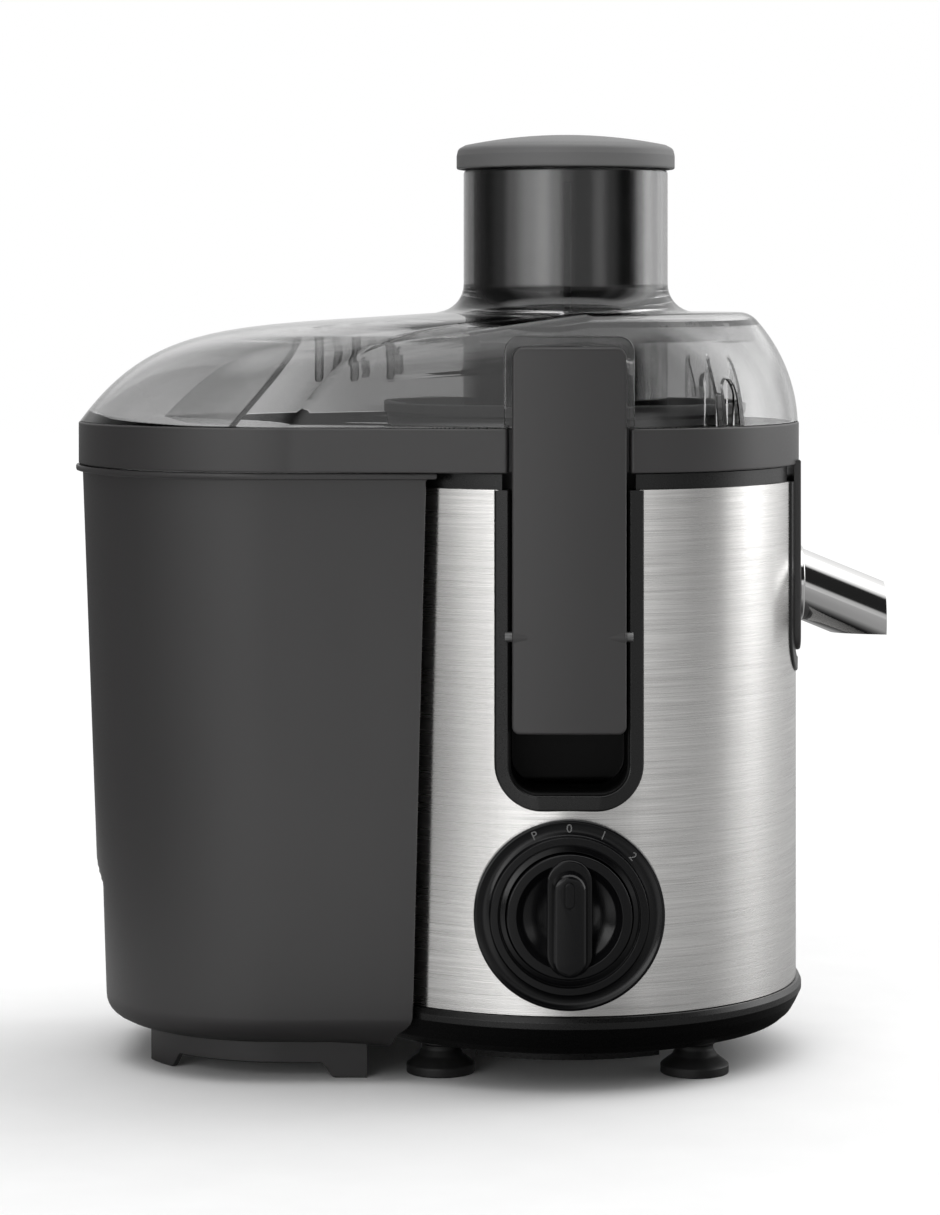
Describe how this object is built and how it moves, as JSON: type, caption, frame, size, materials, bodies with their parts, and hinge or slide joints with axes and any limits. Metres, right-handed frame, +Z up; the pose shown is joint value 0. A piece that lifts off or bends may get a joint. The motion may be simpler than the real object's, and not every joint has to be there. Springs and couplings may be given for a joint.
{
  "type": "centrifugal juicer",
  "caption": "Centrifugal juicer with a steel-wrapped motor base, side latches, a clear lid with feed tube and pusher, a turning spout and a rear pulp container.",
  "frame": {"origin": "centre of the whole object's box, on the surface it stands on", "axes": "+Z up; +X towards the juice spout; -Y towards the control knob and the near latch"},
  "size_m": [0.3222, 0.199, 0.3635],
  "materials": {
    "black_plastic": "satin black",
    "brushed_wrap": "horizontal brush",
    "rubber_black": "matt",
    "dark_grey_plastic": "satin",
    "cap_grey_plastic": "satin",
    "pusher_plastic": "gloss",
    "clear_lid": "clear smoky plastic",
    "chrome": "mirror",
    "plain_steel": "turned",
    "filter_steel": "perforated",
    "iron": "laminated",
    "copper": "enamelled wire",
    "brass": "satin",
    "carbon": "carbon",
    "circuit_board": "satin",
    "control_black": "gloss"
  },
  "bodies": {
    "base": {"motor_housing": "black_plastic", "front_shell": "black_plastic", "rear_shell": "black_plastic", "motor_deck": "black_plastic", "steel_wrap": "brushed_wrap", "base_ring": "black_plastic", "bottom_cover": "black_plastic", "base_screws": "plain_steel", "foot_studs": "plain_steel", "suction_feet": "rubber_black", "latch_frame_near": "black_plastic", "latch_frame_far": "black_plastic", "latch_pins": "plain_steel", "spout_frame": "black_plastic", "knob_bezel": "control_black", "rotary_switch": "black_plastic", "control_board": "circuit_board", "interlock_switch": "black_plastic", "cord_gland": "rubber_black", "motor_stator": "iron", "field_windings": "copper", "upper_motor_bracket": "iron", "lower_motor_bracket": "iron", "upper_bearing": "plain_steel", "lower_bearing": "plain_steel", "through_bolts": "plain_steel", "brush_holders": "brass", "carbon_brushes": "carbon", "motor_dampers": "rubber_black", "motor_screws": "plain_steel", "shaft_seal": "rubber_black"},
    "rotor": {"motor_shaft": "plain_steel", "armature_core": "iron", "armature_windings": "copper", "commutator": "brass", "cooling_fan": "black_plastic", "drive_coupling": "black_plastic"},
    "knob": {"control_knob": "control_black", "switch_shaft": "plain_steel"},
    "latch_near": {"latch_arm_near": "dark_grey_plastic"},
    "latch_far": {"latch_arm_far": "dark_grey_plastic"},
    "collector": {"juice_collector": "dark_grey_plastic", "collector_collar": "dark_grey_plastic"},
    "spout": {"spout": "chrome", "spout_seal": "rubber_black"},
    "filter": {"filter_base": "dark_grey_plastic", "filter_mesh": "filter_steel", "filter_rim": "dark_grey_plastic", "grating_disc": "filter_steel"},
    "lid": {"lid": "clear_lid", "feed_tube": "clear_lid", "lid_deflector": "clear_lid"},
    "pusher": {"pusher_body": "pusher_plastic", "pusher_cap": "cap_grey_plastic"},
    "container": {"pulp_container": "dark_grey_plastic"}
  },
  "joints": [
    {"name": "rotor_spin", "type": "hinge", "parent": "base", "child": "rotor", "pos_m": [0.03425, 0.0055, 0.09], "axis": [0, 0, 1], "continuous": true},
    {"name": "filter_spin", "type": "hinge", "parent": "collector", "child": "filter", "pos_m": [0.03425, 0.0055, 0.2], "axis": [0, 0, 1], "continuous": true},
    {"name": "knob_turn", "type": "hinge", "parent": "base", "child": "knob", "pos_m": [0.03425, -0.0845, 0.068], "axis": [0, 1, 0], "range_deg": [-23.5, 47]},
    {"name": "latch_near_swing", "type": "hinge", "parent": "base", "child": "latch_near", "pos_m": [0.03425, -0.084, 0.1716], "axis": [1, 0, 0], "range_deg": [0, 32]},
    {"name": "latch_far_swing", "type": "hinge", "parent": "base", "child": "latch_far", "pos_m": [0.03425, 0.095, 0.1716], "axis": [-1, 0, 0], "range_deg": [0, 32]},
    {"name": "collector_lift", "type": "slide", "parent": "base", "child": "collector", "axis": [0, 0, 1], "range_m": [0, 0.1]},
    {"name": "spout_turn", "type": "hinge", "parent": "collector", "child": "spout", "pos_m": [0.12725, 0.0055, 0.1848], "axis": [1, 0, 0], "range_deg": [0, 180]},
    {"name": "lid_lift", "type": "slide", "parent": "collector", "child": "lid", "axis": [0, 0, 1], "range_m": [0, 0.08]},
    {"name": "pusher_slide", "type": "slide", "parent": "lid", "child": "pusher", "axis": [0, 0, 1], "range_m": [0, 0.14]},
    {"name": "container_slide", "type": "slide", "parent": "base", "child": "container", "axis": [-1, 0, 0], "range_m": [0, 0.16]}
  ],
  "couplings": [
    {"joint": "filter_spin", "follows": "rotor_spin", "ratio": 1}
  ]
}
